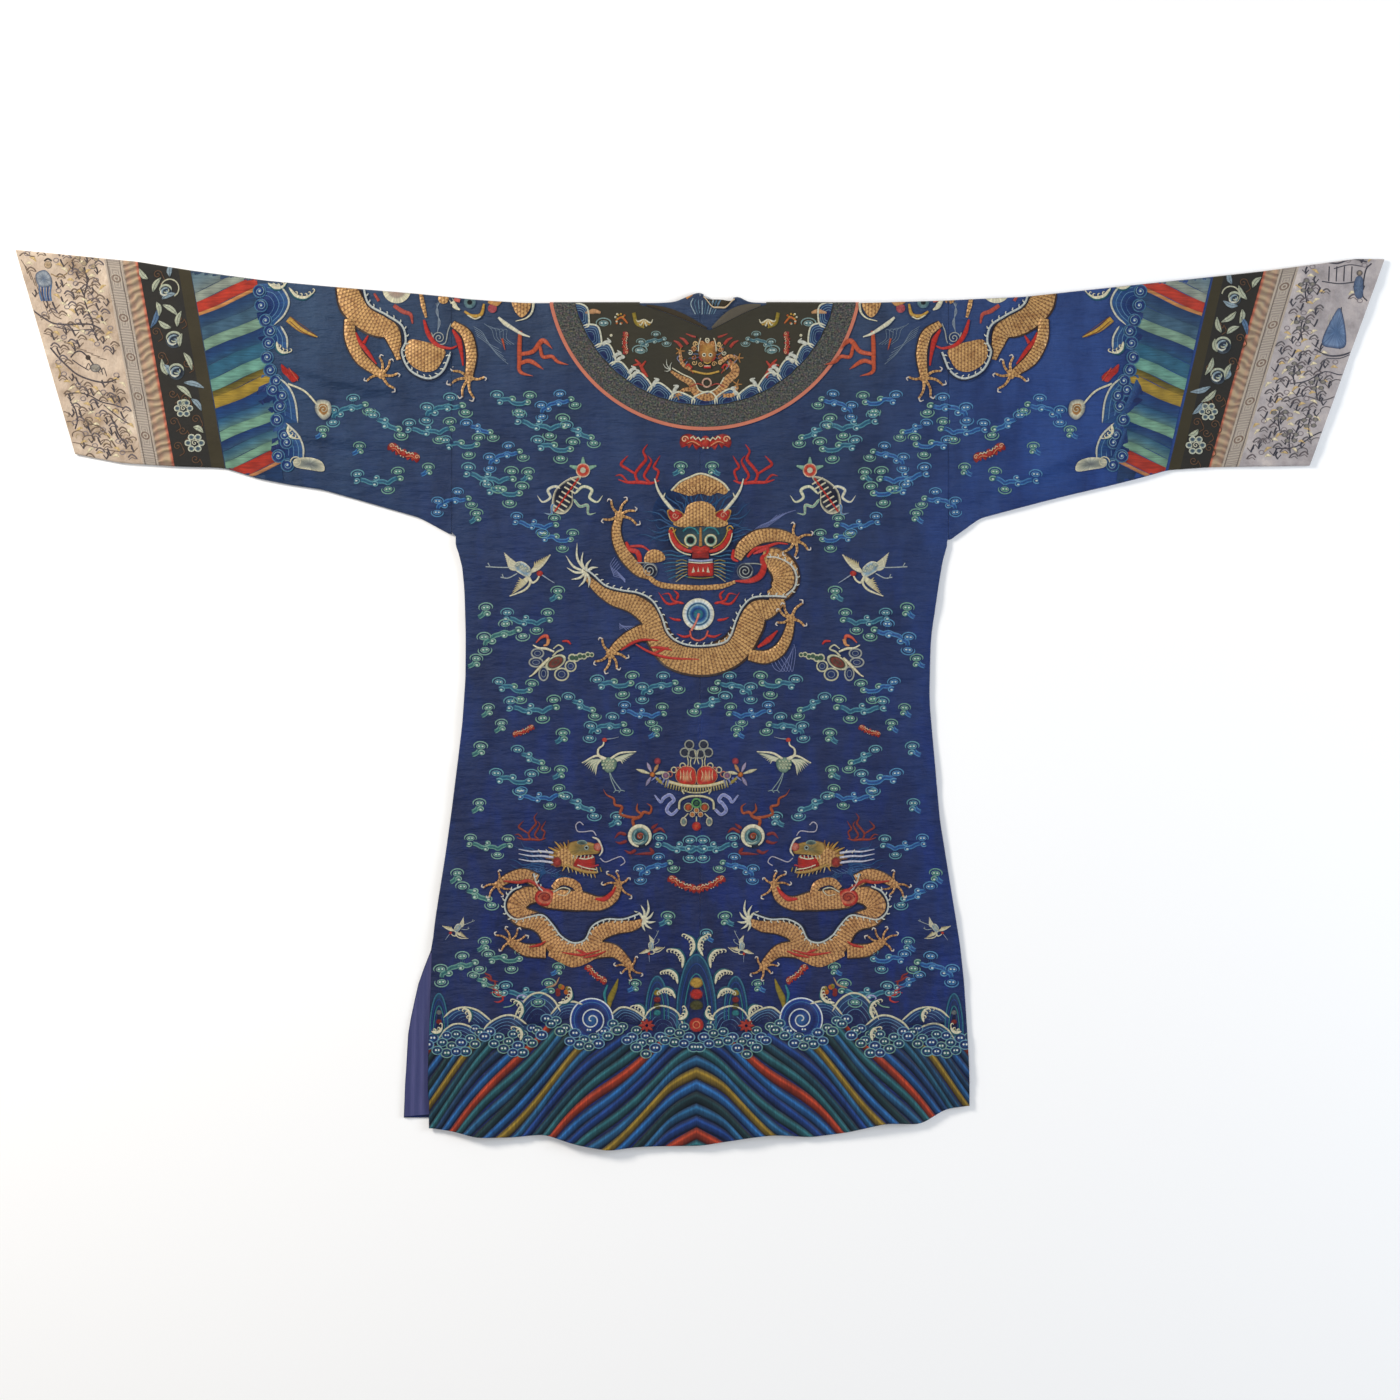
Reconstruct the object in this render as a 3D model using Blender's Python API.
"""Chinese dragon robe laid flat on a table, its back upwards.

+X runs along the sleeves, +Y from the hem to the neck and +Z up.  The origin is the middle of
the outline, on the table.  The cloth is a thin wall: the front lies on the table, the back lies
on the front, the shoulders and the tops of the sleeves are folds, and seams keep a small gap.
"""
import math

import bpy
import bmesh
from mathutils import Vector

# ---- driving dimensions, in metres ---------------------------------------------------------
SILK = 0.0012           # wall of the body, the sleeves and the sleeve bands
TRIM = 0.0010           # wall of the collar, its facings and the lining
GAP = 0.0003            # space kept between two pieces at a seam, or between two layers
LAYER = SILK + GAP

BODY_LOFT = 0.0070      # height of the back's outer face over the body
SLEEVE_LOFT = 0.0056    # height of the outer face over the sleeves
TWO_LAYERS = 2 * SILK + GAP
THREE_LAYERS = TWO_LAYERS + LAYER
OVER_LINING = TWO_LAYERS + TRIM + GAP
ROLL = 0.035            # width over which the cloth sinks from its loft to a seam

ARMHOLE = 0.330         # X of the seam between body and sleeve
WAIST_OF_FOLD = 5       # points round a folded edge

SHOULDER = 0.528        # Y of the shoulder fold beside the neck
COLLAR_CENTRE = (0.006, 0.568)
COLLAR_RADIUS = 0.210   # outside of the piping
PIPING_WIDTH = 0.0045
BORDER_WIDTH = 0.028
COLLAR_TOP_NECK = (-0.080, 0.088)   # X of the two ends of the collar's neck edge, at the fold
COLLAR_NECK_DEPTH = (0.013, 0.4905)  # lowest point of the neck edge on the back
FRONT_NECK_DEPTH = 0.060
FACING_RISE = 0.0030    # the turned-out facing stands up by this at its widest
MOUND = 0.0050          # the body's cloth stands this much higher inside the collar's neck

NECK_HOLE = (0.004, 0.046)          # X of the ends of the robe's own neck hole
NECK_RIM_DIP = 0.011
PIPING_SIDES = 6

# ---- outlines: rows of named columns -------------------------------------------------------
# x, y along the shoulders and the folded tops of the sleeves
TOP_EDGE = [(-0.910, 0.5985), (-0.747, 0.5825), (-0.677, 0.571), (-0.573, 0.557), (-0.486, 0.549),
            (-0.386, 0.541), (-0.307, 0.533), (-0.235, SHOULDER), (0.212, SHOULDER), (0.325, 0.531),
            (0.433, 0.536), (0.571, 0.551), (0.682, 0.5626), (0.7495, 0.570), (0.885, 0.588),
            (0.910, 0.586)]
# x, rise of the body's cloth above the shoulder line at the neck
NECK_RISE = [(-0.036, 0.0), (-0.022, 0.008), (-0.004, 0.014), (0.006, 0.020), (0.036, 0.020),
             (0.050, 0.012), (0.064, 0.0)]
# x, y along the undersides of the sleeves, from the cuff to the armhole
UNDER_LEFT = [(-0.830, 0.3265), (-0.775, 0.3150), (-0.698, 0.3100), (-0.632, 0.3080),
              (-0.575, 0.2900), (-0.501, 0.2790), (-0.373, 0.2420), (-ARMHOLE, 0.2185)]
UNDER_RIGHT = [(ARMHOLE, 0.2105), (0.352, 0.2330), (0.372, 0.2410), (0.478, 0.2690),
               (0.565, 0.2890), (0.621, 0.3050), (0.678, 0.3090), (0.810, 0.3110)]
# y, x down the side seams, from the armhole to the hem
SIDE_LEFT = [(0.2185, -ARMHOLE), (0.206, -0.3225), (0.186, -0.317), (0.146, -0.313),
             (0.080, -0.311), (0.000, -0.312), (-0.033, -0.316), (-0.120, -0.3265),
             (-0.1995, -0.337), (-0.266, -0.349), (-0.3285, -0.356), (-0.4655, -0.361),
             (-0.532, -0.362), (-0.569, -0.357)]
SIDE_RIGHT = [(0.2105, ARMHOLE), (0.186, 0.3225), (0.146, 0.316), (0.106, 0.309),
              (0.0665, 0.305), (0.013, 0.304), (-0.053, 0.307), (-0.120, 0.313),
              (-0.186, 0.3225), (-0.266, 0.333), (-0.319, 0.345), (-0.399, 0.353),
              (-0.4655, 0.356), (-0.532, 0.358)]
# x, y along the hem of the back
HEM = [(-0.357, -0.569), (-0.313, -0.575), (-0.280, -0.588), (-0.233, -0.577), (-0.187, -0.577),
       (-0.160, -0.592), (-0.1214, -0.5985), (-0.0805, -0.593), (0.000, -0.592), (0.019, -0.589),
       (0.092, -0.577), (0.146, -0.581), (0.212, -0.572), (0.259, -0.559), (0.292, -0.565),
       (0.3145, -0.545), (0.356, -0.539)]
FRONT_HEM_RISE = 0.014  # the front's hem ends this much higher than the back's
# y, x of the front's edge where it shows beyond the back at the open left vent
VENT_LEFT = [(-0.3285, -0.356), (-0.374, -0.374), (-0.442, -0.388), (-0.518, -0.394),
             (-0.600, -0.394)]
VENT_TOP = -0.3285
# x, y along the curved top edge of the front overlap, from the neck to the side seam
OVERLAP_EDGE = [(0.000, 0.490), (0.040, 0.474), (0.090, 0.432), (0.150, 0.360), (0.210, 0.290),
                (0.270, 0.225), (0.3165, 0.150)]

# name, x0, y0, x1, y1, half width, height, runs out at the end
FOLDS = [("skirt ridge 1", -0.280, -0.10, -0.285, -0.58, 0.055, 0.0045, True),
         ("skirt ridge 2", -0.150, -0.20, -0.135, -0.60, 0.060, 0.0055, True),
         ("skirt ridge 3", 0.050, -0.15, 0.060, -0.59, 0.055, 0.0040, True),
         ("skirt ridge 4", 0.205, 0.00, 0.240, -0.57, 0.060, 0.0050, True),
         ("skirt trough 1", -0.215, -0.25, -0.215, -0.58, 0.040, -0.0015, True),
         ("skirt trough 2", 0.145, -0.25, 0.155, -0.58, 0.040, -0.0015, True),
         ("left sleeve, upper", -0.566, 0.436, -0.393, 0.399, 0.030, 0.0035, False),
         ("left sleeve, lower", -0.519, 0.347, -0.400, 0.325, 0.028, 0.0030, False),
         ("right sleeve, lower", 0.598, 0.359, 0.398, 0.292, 0.030, 0.0040, False),
         ("right sleeve, upper", 0.543, 0.426, 0.445, 0.396, 0.028, 0.0030, False)]

# name of the piece, x of its start at the sleeve's top edge, x at the underside
SLEEVE_SEAMS = {
    "left": [("sleeve", -ARMHOLE, -ARMHOLE), ("olive_strip", -0.677, -0.631),
             ("flower_band", -0.693, -0.649), ("striped_binding", -0.747, -0.698),
             ("brocade_strip", -0.768, -0.719), ("cuff_band", -0.792, -0.740),
             ("end", -0.910, -0.830)],
    "right": [("sleeve", ARMHOLE, ARMHOLE), ("olive_strip", 0.682, 0.622),
              ("flower_band", 0.696, 0.638), ("striped_binding", 0.749, 0.676),
              ("brocade_strip", 0.771, 0.693), ("cuff_band", 0.796, 0.716),
              ("end", 0.910, 0.810)],
}

# name of the material, colour, roughness
CLOTHS = {
    "blue_silk": ((0.030, 0.060, 0.230), 0.50),
    "olive_silk": ((0.035, 0.026, 0.008), 0.65),
    "flower_silk": ((0.018, 0.016, 0.012), 0.60),
    "binding_silk": ((0.640, 0.420, 0.320), 0.60),
    "brocade": ((0.300, 0.260, 0.230), 0.70),
    "cuff_silk": ((0.560, 0.460, 0.350), 0.60),
    "collar_silk": ((0.030, 0.026, 0.014), 0.60),
    "border_brocade": ((0.060, 0.058, 0.052), 0.70),
    "coral_piping": ((0.560, 0.180, 0.100), 0.60),
    "facing_silk": ((0.130, 0.110, 0.080), 0.70),
    "lining_silk": ((0.060, 0.060, 0.210), 0.55),
    "cream_piping": ((0.620, 0.500, 0.330), 0.60),
}


# ---- small helpers --------------------------------------------------------------------------
def smooth(t):
    """Ease from 0 to 1."""
    t = min(1.0, max(0.0, t))
    return t * t * (3.0 - 2.0 * t)


def look_up(table, key):
    """Straight-line reading of a two-column table whose first column rises or falls."""
    rows = table if table[0][0] < table[-1][0] else table[::-1]
    if key <= rows[0][0]:
        return rows[0][1]
    for (a, fa), (b, fb) in zip(rows, rows[1:]):
        if key <= b:
            return fa + (fb - fa) * (key - a) / (b - a)
    return rows[-1][1]


def distance_to_line(x, y, x0, y0, x1, y1):
    """Distance to a segment, and how far along it the nearest point lies."""
    dx, dy = x1 - x0, y1 - y0
    t = ((x - x0) * dx + (y - y0) * dy) / (dx * dx + dy * dy)
    t = min(1.0, max(0.0, t))
    return math.hypot(x - x0 - t * dx, y - y0 - t * dy), t


def distance_to_path(x, y, path):
    return min(distance_to_line(x, y, *a, *b)[0] for a, b in zip(path, path[1:]))


SEAM_PATH = {
    "left": UNDER_LEFT + [(x, y) for y, x in SIDE_LEFT[1:]],
    "right": [(x, y) for y, x in SIDE_RIGHT[:0:-1]] + UNDER_RIGHT,
}


# ---- the heights of the cloth ---------------------------------------------------------------
def shoulder_y(x):
    """Y of the folded top edge of the body and the sleeves."""
    return look_up(TOP_EDGE, x) + look_up(NECK_RISE, x)


def fold_height(x, y):
    total = 0.0
    for _, x0, y0, x1, y1, half_width, height, runs_out in FOLDS:
        away, along = distance_to_line(x, y, x0, y0, x1, y1)
        if away < half_width:
            ends = smooth(along / 0.4) * (1.0 if runs_out else smooth((1.0 - along) / 0.4))
            total += height * ends * 0.5 * (1.0 + math.cos(math.pi * away / half_width))
    return total


def inside_collar_neck(x, y):
    """How far a point lies inside the V of the collar's neck edge."""
    low_x, low_y = COLLAR_NECK_DEPTH
    end_x = COLLAR_TOP_NECK[0] if x < low_x else COLLAR_TOP_NECK[1]
    slope = (shoulder_y(end_x) - low_y) / (end_x - low_x)
    return (y - low_y - slope * (x - low_x)) / math.hypot(1.0, slope)


def seam_height(x, y):
    """Height of the outer face at the side seams: two or three layers, or over the lining."""
    if x < 0.0:
        return TWO_LAYERS + (OVER_LINING - TWO_LAYERS) * smooth((-0.29 - y) / 0.035)
    return THREE_LAYERS + (TWO_LAYERS - THREE_LAYERS) * smooth((x - 0.345) / 0.08)


def back_height(x, y):
    """Height of the outer, upper face of the cloth that lies on top."""
    loft = BODY_LOFT + (SLEEVE_LOFT - BODY_LOFT) * smooth((abs(x) - 0.24) / 0.10)
    from_collar = math.dist((x, y), COLLAR_CENTRE) - COLLAR_RADIUS
    loft += fold_height(x, y) * smooth((from_collar - 0.01) / 0.05)
    loft += MOUND * smooth((inside_collar_neck(x, y) - 0.013) / 0.010)
    side = "left" if x < 0.0 else "right"
    away = min(1.0, distance_to_path(x, y, SEAM_PATH[side]) / ROLL)
    edge = seam_height(x, y)
    return edge + (loft - edge) * math.sqrt(max(0.0, 1.0 - (1.0 - away) ** 2))


def collar_lift(x, y):
    """The front lies on the front half of the collar, so it is that much off the table."""
    turned_centre = (COLLAR_CENTRE[0], 2.0 * SHOULDER - COLLAR_CENTRE[1])
    from_collar = math.dist((x, y), turned_centre) - COLLAR_RADIUS
    return (TRIM + GAP) * (1.0 - smooth((from_collar - 0.05) / 0.20))


def front_height(x, y, inner=False):
    """Height of the outer, lower face of the front.  The inner front lies on the overlap."""
    height = collar_lift(x, y)
    if inner:
        low_y = look_up(OVERLAP_EDGE, x)
        outside = distance_to_path(x, y, OVERLAP_EDGE) if y > low_y else 0.0
        height += LAYER * (1.0 - smooth((outside - 0.070) / 0.080))
    return height


# ---- building walls from grids --------------------------------------------------------------
def add_wall(name, cloth, rows, keep=lambda row, column: True, closed=False):
    """A closed thin solid.  rows holds (outer, inner) points; closed joins last row to first."""
    mesh = bpy.data.meshes.new(name)
    bm = bmesh.new()
    corners = [[(bm.verts.new(o), bm.verts.new(i)) for o, i in row] for row in rows]
    count = len(rows) if closed else len(rows) - 1
    columns = len(rows[0]) - 1
    cells = {(r, c) for r in range(count) for c in range(columns) if keep(r, c)}
    for r, c in cells:
        ring = [(r, c), (r, c + 1), ((r + 1) % len(rows), c + 1), ((r + 1) % len(rows), c)]
        outer = [corners[a][b][0] for a, b in ring]
        inner = [corners[a][b][1] for a, b in ring]
        bm.faces.new(outer)
        bm.faces.new(inner[::-1])
        before = (r - 1) % len(rows) if closed else r - 1
        after = (r + 1) % len(rows) if closed else r + 1
        for side, next_cell in enumerate([(before, c), (r, c + 1), (after, c), (r, c - 1)]):
            if next_cell not in cells:
                a, b = side, (side + 1) % 4
                bm.faces.new([outer[a], inner[a], inner[b], outer[b]])
    loose = [v for v in bm.verts if not v.link_faces]
    bmesh.ops.delete(bm, geom=loose, context="VERTS")
    bmesh.ops.recalc_face_normals(bm, faces=bm.faces)
    bm.to_mesh(mesh)
    bm.free()
    mesh.materials.append(material(cloth))
    piece = bpy.data.objects.new(name, mesh)
    robe.objects.link(piece)
    piece.parent = root
    return piece


def material(cloth):
    if cloth in bpy.data.materials:
        return bpy.data.materials[cloth]
    colour, roughness = CLOTHS[cloth]
    made = bpy.data.materials.new(cloth)
    made.use_nodes = True
    shader = made.node_tree.nodes["Principled BSDF"]
    shader.inputs["Base Color"].default_value = (*colour, 1.0)
    shader.inputs["Roughness"].default_value = roughness
    shader.inputs["Metallic"].default_value = 0.0
    return made


def fold_angles():
    """Angles round a folded edge, from straight up to straight down."""
    return [math.pi * (0.5 - k / (WAIST_OF_FOLD - 1)) for k in range(WAIST_OF_FOLD)]


def shoulder_fold(x, top, bottom, wall, offset=0.0, dip=0.0):
    """Points round the shoulder fold: the body's outer face, moved out by offset."""
    half = 0.5 * (top - bottom)
    centre = Vector((x, shoulder_y(x) - half, 0.5 * (top + bottom)))
    points = []
    for number, angle in enumerate(fold_angles()):
        out = Vector((0.0, math.cos(angle), math.sin(angle)))
        back_off = Vector((0.0, -dip if number == 0 else 0.0, 0.0))
        points.append((centre + out * (half + offset + wall) + back_off,
                       centre + out * (half + offset) + back_off))
    return points


# ---- the body -------------------------------------------------------------------------------
# distances from the centre seam as shares of the half width
LEFT_COLUMNS = [0.0, 0.045, 0.10, 0.17, 0.25, 0.34, 0.45, 0.58, 0.70, 0.83, 0.92, 0.965, 1.0]
RIGHT_COLUMNS = [0.0, 0.012, 0.055, 0.098, 0.14, 0.19, 0.28, 0.41, 0.55, 0.69, 0.82, 0.91,
                 0.965, 1.0]
BACK_ROWS = [0.5135, 0.500, 0.484, 0.455, 0.42, 0.375, 0.33, 0.27, "armhole", 0.186, 0.146,
             0.09, 0.03, -0.03, -0.09, -0.15, -0.21, -0.29, VENT_TOP, -0.38, -0.43,
             -0.48, -0.535, "hem"]
FRONT_ROWS = [0.508, 0.455, 0.38, 0.30, "armhole", 0.186, 0.146, 0.08, 0.00, -0.16, VENT_TOP,
              -0.374, -0.442, "hem"]
FIXED_ABOVE = 0.42      # rows above this follow the shoulder
FIXED_BELOW = -0.43     # rows below this follow the hem
LOWEST = -0.592


def body_point(side, share, row, front):
    """Flat place of a grid point of the body."""
    table = SIDE_LEFT if side == "left" else SIDE_RIGHT
    armhole_y = table[0][0]
    y = {"armhole": armhole_y, "hem": LOWEST}.get(row, row)
    edge = look_up(table, y) if y < armhole_y else math.copysign(ARMHOLE, table[0][1])
    if front and side == "left" and y < VENT_TOP:
        edge = look_up(VENT_LEFT, y)
    x = share * edge
    x += math.copysign(GAP / 2, edge) * (1.0 - 2.0 * (share == 1.0 and y >= armhole_y))
    if share == 1.0 and y < armhole_y:
        x = edge
    if y > FIXED_ABOVE and not front:
        x_at_top = share * math.copysign(ARMHOLE, edge)
        y = FIXED_ABOVE + (y - FIXED_ABOVE) * (shoulder_y(x_at_top) - FIXED_ABOVE) / 0.108
    if y < FIXED_BELOW:
        hem = look_up(HEM, x) + (FRONT_HEM_RISE if front else 0.0)
        y = FIXED_BELOW + (hem - FIXED_BELOW) * (FIXED_BELOW - y) / (FIXED_BELOW - LOWEST)
    return x, y


def in_neck_hole(x):
    return NECK_HOLE[0] - 1e-3 < x < NECK_HOLE[1] + 1.5e-3


def build_body(side):
    columns = LEFT_COLUMNS if side == "left" else RIGHT_COLUMNS
    inner_front = side == "right"
    rows = []
    for row in reversed(BACK_ROWS):
        line = []
        for share in columns:
            x, y = body_point(side, share, row, front=False)
            z = back_height(x, y)
            line.append((Vector((x, y, z)), Vector((x, y, z - SILK))))
        rows.append(line)
    folds = []
    for share in columns:
        x = body_point(side, share, 0.42, front=False)[0]
        y = shoulder_y(x)
        top, bottom = back_height(x, y - 0.003), front_height(x, y)
        middle = 0.5 * sum(NECK_HOLE)
        share_of_hole = 1.0 - abs(x - middle) / (NECK_HOLE[1] - middle)
        dip = NECK_RIM_DIP * smooth(2.0 * share_of_hole) if side == "right" else 0.0
        folds.append(shoulder_fold(x, top, bottom, SILK, offset=-SILK, dip=dip))
    for number in range(WAIST_OF_FOLD):
        rows.append([fold[number] for fold in folds])
    for row in FRONT_ROWS:
        line = []
        for share in columns:
            x, y = body_point(side, share, row, front=True)
            z = front_height(x, y, inner_front)
            line.append((Vector((x, y, z)), Vector((x, y, z + SILK))))
        rows.append(line)
    first_fold = len(BACK_ROWS)
    xs = [fold[0][0].x for fold in folds]

    def keep(row, column):
        open_here = in_neck_hole(xs[column]) and in_neck_hole(xs[column + 1])
        return not (open_here and first_fold <= row < first_fold + WAIST_OF_FOLD - 1)

    add_wall("body_" + side, "blue_silk", rows, keep)


def build_front_overlap():
    """The right half of the outer front, from its curved top edge to the hem."""
    rows = []
    shares = [0.0, 0.14, 0.28, 0.42, 0.56, 0.70, 0.83, 0.92, 1.0]
    for down in [0.0, 0.06, 0.14, 0.22, 0.32, 0.45, 0.60, 0.75, 0.88, 1.0]:
        line = []
        for share in shares:
            start = look_up(OVERLAP_EDGE, share * OVERLAP_EDGE[-1][0])
            end = look_up(HEM, share * 0.355) + FRONT_HEM_RISE
            y = start + (end - start) * down
            x = share * look_up(SIDE_RIGHT, min(y, 0.150)) + (GAP if share == 0.0 else 0.0)
            z = collar_lift(x, y)
            line.append((Vector((x, y, z)), Vector((x, y, z + SILK))))
        rows.append(line)
    add_wall("front_overlap", "blue_silk", rows)


def build_front_lining():
    """The strip of the front's lining that shows at the open left vent."""
    inner_x = -0.300
    rows = []
    for y in [VENT_TOP - 0.008, -0.374, -0.408, -0.442, -0.480, -0.518, -0.553]:
        edge = look_up(VENT_LEFT, y) + 0.0012
        line = []
        for share in [0.0, 0.33, 0.66, 1.0]:
            x = edge + (inner_x - edge) * share
            line.append((Vector((x, y, LAYER + TRIM)), Vector((x, y, LAYER))))
        rows.append(line)
    add_wall("front_lining", "lining_silk", rows)


# ---- the sleeves and their bands ------------------------------------------------------------
# across the sleeve, from the top edge to the underside: distance to the nearer edge or share
ACROSS_TOP = [0.015, 0.22, 0.41, 0.60, 0.78, -0.034, -0.016, -0.005]
ACROSS_BOTTOM = [-0.012, 0.50, 0.012]


def along_width(value, width):
    """A place across the sleeve: metres from the top edge, metres from the underside, or share."""
    if value < 0.0:
        return width + value
    return value if value < 0.1 else value * width


def sleeve_ring(side, top_x, under_x):
    """One ring of (outer, inner) points round a flattened sleeve."""
    under = UNDER_LEFT if side == "left" else UNDER_RIGHT
    top = Vector((top_x, look_up(TOP_EDGE, top_x)))
    low = Vector((under_x, look_up(under, under_x)))
    width = (low - top).length
    down = (low - top).normalized()
    points = []

    def edge_fold(edge, outward, angles):
        height = back_height(*(edge - outward * 0.003))
        half = 0.5 * height
        centre = edge - outward * half
        for angle in angles:
            out = Vector((*(outward * math.cos(angle)), math.sin(angle)))
            middle = Vector((*centre, half))
            points.append((middle + out * half, middle + out * (half - SILK)))

    edge_fold(top, -down, fold_angles()[::-1])
    for value in ACROSS_TOP:
        x, y = top + down * along_width(value, width)
        z = back_height(x, y)
        points.append((Vector((x, y, z)), Vector((x, y, z - SILK))))
    edge_fold(low, down, fold_angles())
    for value in ACROSS_BOTTOM:
        x, y = top + down * along_width(value, width)
        points.append((Vector((x, y, 0.0)), Vector((x, y, SILK))))
    return points


def build_sleeve(side):
    """The blue sleeve and the bands sewn to its end, each a flattened tube."""
    cloths = {"sleeve": "blue_silk", "olive_strip": "olive_silk", "flower_band": "flower_silk",
              "striped_binding": "binding_silk", "brocade_strip": "brocade",
              "cuff_band": "cuff_silk"}
    steps = {"sleeve": 7, "flower_band": 2, "cuff_band": 3}
    seams = SLEEVE_SEAMS[side]
    sign = -1.0 if side == "left" else 1.0
    for (name, top_a, low_a), (_, top_b, low_b) in zip(seams, seams[1:]):
        count = steps.get(name, 1)
        rings = []
        for step in range(count + 1):
            t = step / count
            gap = sign * GAP / 2 * (1.0 if step == 0 else -1.0 if step == count else 0.0)
            if name == "cuff_band" and step == count:
                gap = 0.0
            rings.append(sleeve_ring(side, top_a + (top_b - top_a) * t + gap,
                                     low_a + (low_b - low_a) * t + gap))
        around = [list(line) for line in zip(*rings)]
        add_wall(name + "_" + side, cloths[name], around, closed=True)


# ---- the collar -----------------------------------------------------------------------------
def collar_ring_point(angle, radius):
    """Place on a circle about the collar's centre, before it is folded over the shoulder."""
    return (COLLAR_CENTRE[0] + radius * math.cos(angle),
            COLLAR_CENTRE[1] + radius * math.sin(angle))


def fold_line_x(radius, sign):
    """X where a circle about the collar's centre meets the shoulder fold."""
    up = COLLAR_CENTRE[1] - SHOULDER
    return COLLAR_CENTRE[0] + sign * math.sqrt(radius ** 2 - up ** 2)


def collar_lines():
    """Lines across the collar, in order round it: what they lie on, and both ends by radius.

    A line is ("back" or "front", share round that half) or ("fold right" or "fold left", number
    of the point round the fold).
    """
    lines = [("back", k / 16.0) for k in range(17)]
    lines += [("fold right", k) for k in range(WAIST_OF_FOLD)]
    lines += [("front", k / 12.0) for k in range(13)]
    lines += [("fold left", k) for k in reversed(range(WAIST_OF_FOLD))]
    return lines


def collar_neck_edge(half, share):
    """The neck edge: a V on the back, from left to right, and a round hole on the front."""
    left, right = COLLAR_TOP_NECK
    shoulder = SHOULDER - 0.006
    if half == "back":
        low_x, low_y = COLLAR_NECK_DEPTH
        split = 0.5
        if share < split:
            t = share / split
            return left + (low_x - left) * t, shoulder + (low_y - shoulder) * t
        t = (share - split) / (1.0 - split)
        return low_x + (right - low_x) * t, low_y + (shoulder - low_y) * t
    middle, reach = 0.5 * (left + right), 0.5 * (right - left)
    angle = math.pi * share
    return middle + reach * math.cos(angle), shoulder - FRONT_NECK_DEPTH * math.sin(angle)


def collar_circle_edge(half, share, radius):
    """A point on a circle: on the back from left to right, on the front from right to left."""
    drop = COLLAR_CENTRE[1] - SHOULDER + 0.006
    start = math.pi + math.asin(drop / radius)
    end = 2.0 * math.pi - math.asin(drop / radius)
    if half == "back":
        return collar_ring_point(start + (end - start) * share, radius)
    # the front half is the rest of the circle, turned over the fold line
    up = COLLAR_CENTRE[1] - SHOULDER
    wide = math.asin((up - 0.006) / radius)
    angle = -wide + (math.pi + 2.0 * wide) * share
    x, y = collar_ring_point(angle, radius)
    return x, 2.0 * SHOULDER - y


def build_collar_ring(name, cloth, inside, outside, across, wall):
    """A ring of the collar between two edges.  Each edge is None, the neck, or a radius."""
    rows = []
    for kind, place in collar_lines():
        line = []
        for share in across:
            if kind in ("back", "front"):
                a = collar_neck_edge(kind, place) if inside is None \
                    else collar_circle_edge(kind, place, inside)
                b = collar_circle_edge(kind, place, outside)
                x, y = (a[0] + (b[0] - a[0]) * share, a[1] + (b[1] - a[1]) * share)
                if kind == "back":
                    z = BODY_LOFT + GAP
                    line.append((Vector((x, y, z + wall)), Vector((x, y, z))))
                else:
                    line.append((Vector((x, y, TRIM - wall)), Vector((x, y, TRIM))))
            else:
                sign = 1.0 if kind == "fold right" else -1.0
                a = COLLAR_TOP_NECK[(int(sign) + 1) // 2] if inside is None \
                    else fold_line_x(inside, sign)
                x = a + (fold_line_x(outside, sign) - a) * share
                fold = shoulder_fold(x, BODY_LOFT, TRIM + GAP, wall, offset=GAP)
                line.append(fold[place])
        rows.append(line)
    add_wall(name, cloth, rows, closed=True)


def build_collar():
    border_out = COLLAR_RADIUS - PIPING_WIDTH
    border_in = border_out - BORDER_WIDTH
    build_collar_ring("collar", "collar_silk", None, border_in - GAP, [0.0, 0.5, 1.0], TRIM)
    build_collar_ring("collar_border", "border_brocade", border_in, border_out - GAP,
                      [0.0, 1.0], TRIM)
    build_collar_ring("collar_piping", "coral_piping", border_out, COLLAR_RADIUS,
                      [0.0, 1.0], TRIM)


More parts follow.
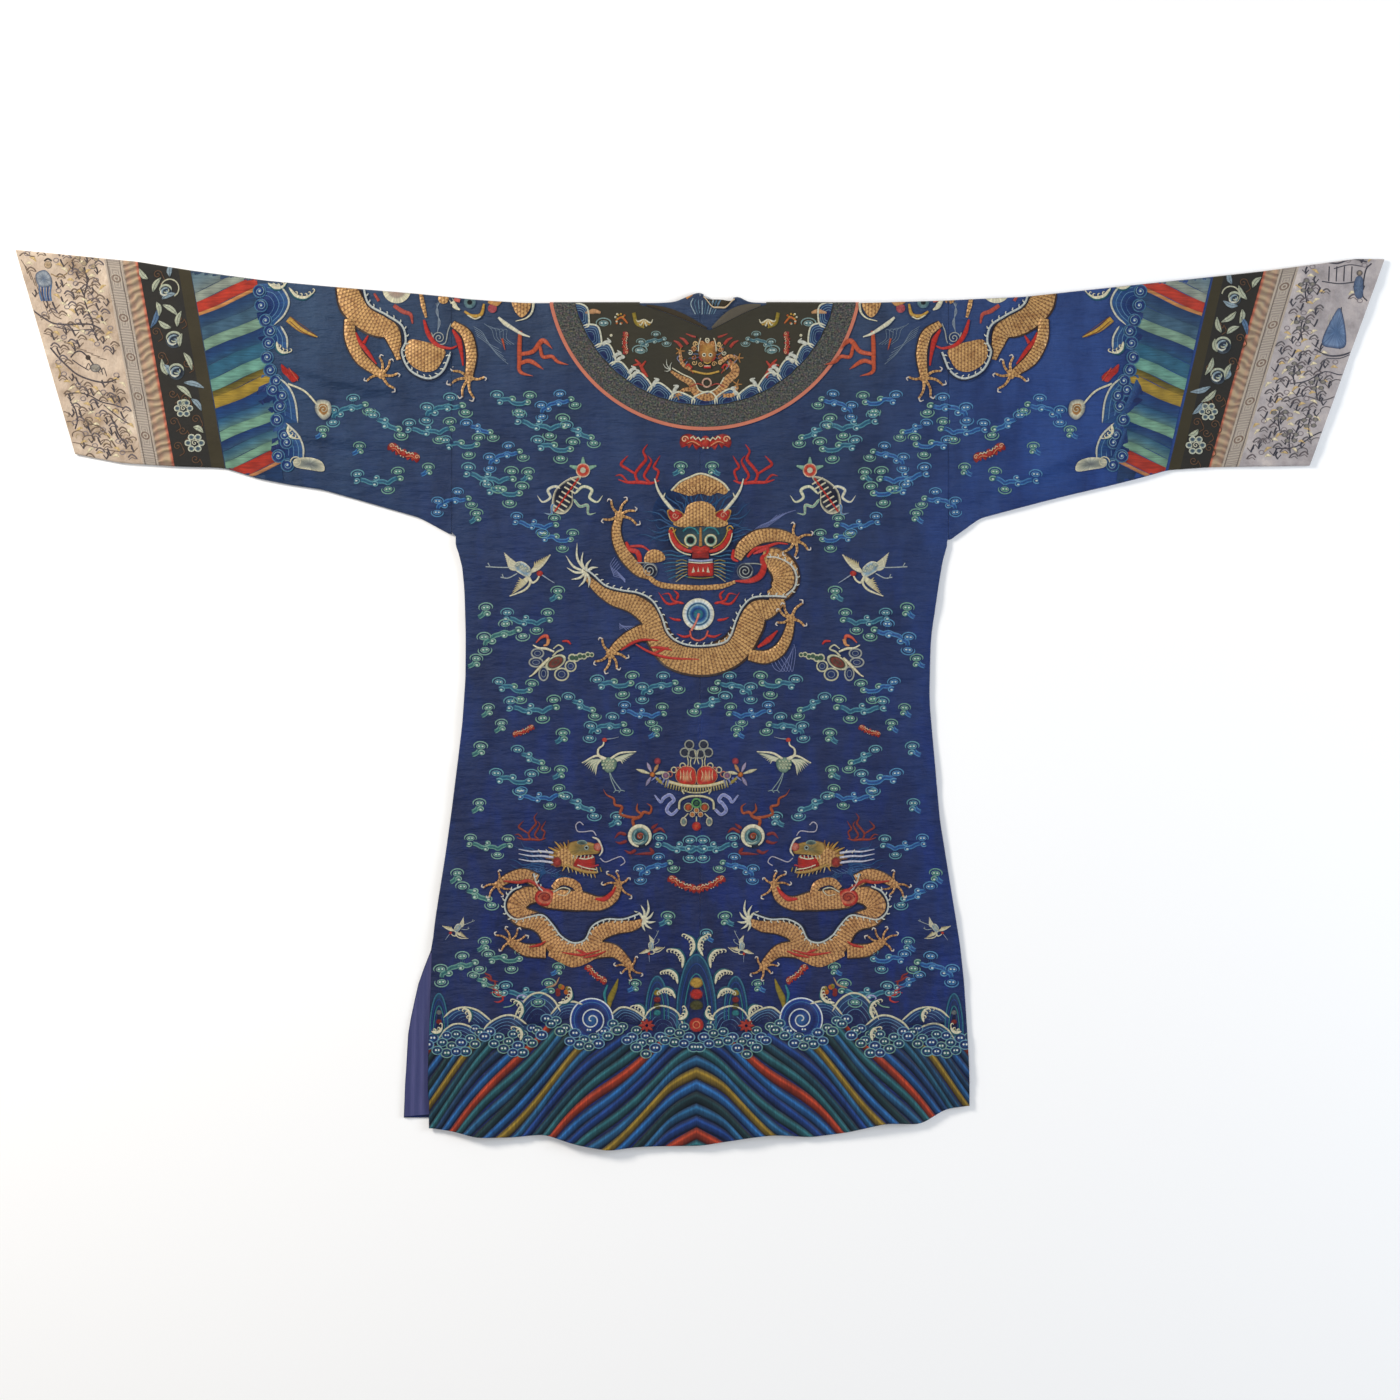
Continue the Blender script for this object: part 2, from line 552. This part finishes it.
def build_collar_facing(side):
    """The facing turned out inside the neck edge: a lens along one arm of the V."""
    low = Vector(COLLAR_NECK_DEPTH)
    end = Vector((COLLAR_TOP_NECK[0 if side == "left" else 1], SHOULDER - 0.006))
    end += (low - end).normalized() * 0.008
    start = low + (end - low).normalized() * 0.006
    normal = Vector((-(end - start).y, (end - start).x)).normalized()
    if normal.y < 0.0:
        normal = -normal
    widest = 0.0070 if side == "left" else 0.0115
    rows = []
    for k in range(11):
        t = k / 10.0
        base = start + (end - start) * t + normal * (2.0 * GAP)
        width = 0.0012 + (widest - 0.0012) * math.sin(math.pi * (0.04 + 0.92 * t))
        line = []
        for share in [0.0, 1.0]:
            x, y = base + normal * (width * share)
            z = BODY_LOFT + GAP + FACING_RISE * share * width / 0.0115
            line.append((Vector((x, y, z + TRIM)), Vector((x, y, z))))
        rows.append(line)
    add_wall("collar_facing_" + side, "facing_silk", rows)


# ---- the robe's own neck hole ---------------------------------------------------------------
def neck_rim_y(x):
    """Y of the back's rim of the neck hole."""
    middle = 0.5 * sum(NECK_HOLE)
    share = 1.0 - abs(x - middle) / (NECK_HOLE[1] - middle)
    top = back_height(x, shoulder_y(x) - 0.003)
    half = 0.5 * (top - front_height(x, shoulder_y(x)))
    return shoulder_y(x) - half - NECK_RIM_DIP * smooth(2.0 * share)


def build_neck_facing():
    """The dark facing that shows through the neck hole, on the inside of the front."""
    z = front_height(0.02, 0.52, inner=True) + SILK + GAP
    rows = []
    for down in [0.0, 0.010, 0.022, 0.034]:
        line = []
        for x in [0.007, 0.016, 0.025, 0.034, 0.043]:
            y = shoulder_y(x) - 0.0035 - down
            line.append((Vector((x, y, z + TRIM)), Vector((x, y, z))))
        rows.append(line)
    add_wall("neck_facing", "facing_silk", rows)


def build_neck_piping():
    """Cream piping along the back's rim of the neck hole."""
    radius = 0.0011
    xs = [NECK_HOLE[0] + (NECK_HOLE[1] - NECK_HOLE[0]) * k / 8.0 for k in range(9)]
    rows = []
    for k in range(PIPING_SIDES):
        angle = 2.0 * math.pi * k / PIPING_SIDES
        line = []
        for x in xs:
            y = neck_rim_y(x) + 0.0004
            z = back_height(x, y - 0.002) + GAP + radius
            centre = Vector((x, y, z))
            out = Vector((0.0, math.cos(angle), math.sin(angle)))
            line.append((centre + out * radius, centre + out * (radius * 0.15)))
        rows.append(line)
    add_wall("neck_piping", "cream_piping", rows, closed=True)


# ---- the whole robe -------------------------------------------------------------------------
for old in list(bpy.data.objects):
    bpy.data.objects.remove(old, do_unlink=True)
robe = bpy.data.collections.new("chinese_dragon_robe")
bpy.context.scene.collection.children.link(robe)
root = bpy.data.objects.new("robe", None)
robe.objects.link(root)

for one_side in ("left", "right"):
    build_body(one_side)
    build_sleeve(one_side)
    build_collar_facing(one_side)
build_front_overlap()
build_front_lining()
build_collar()
build_neck_facing()
build_neck_piping()
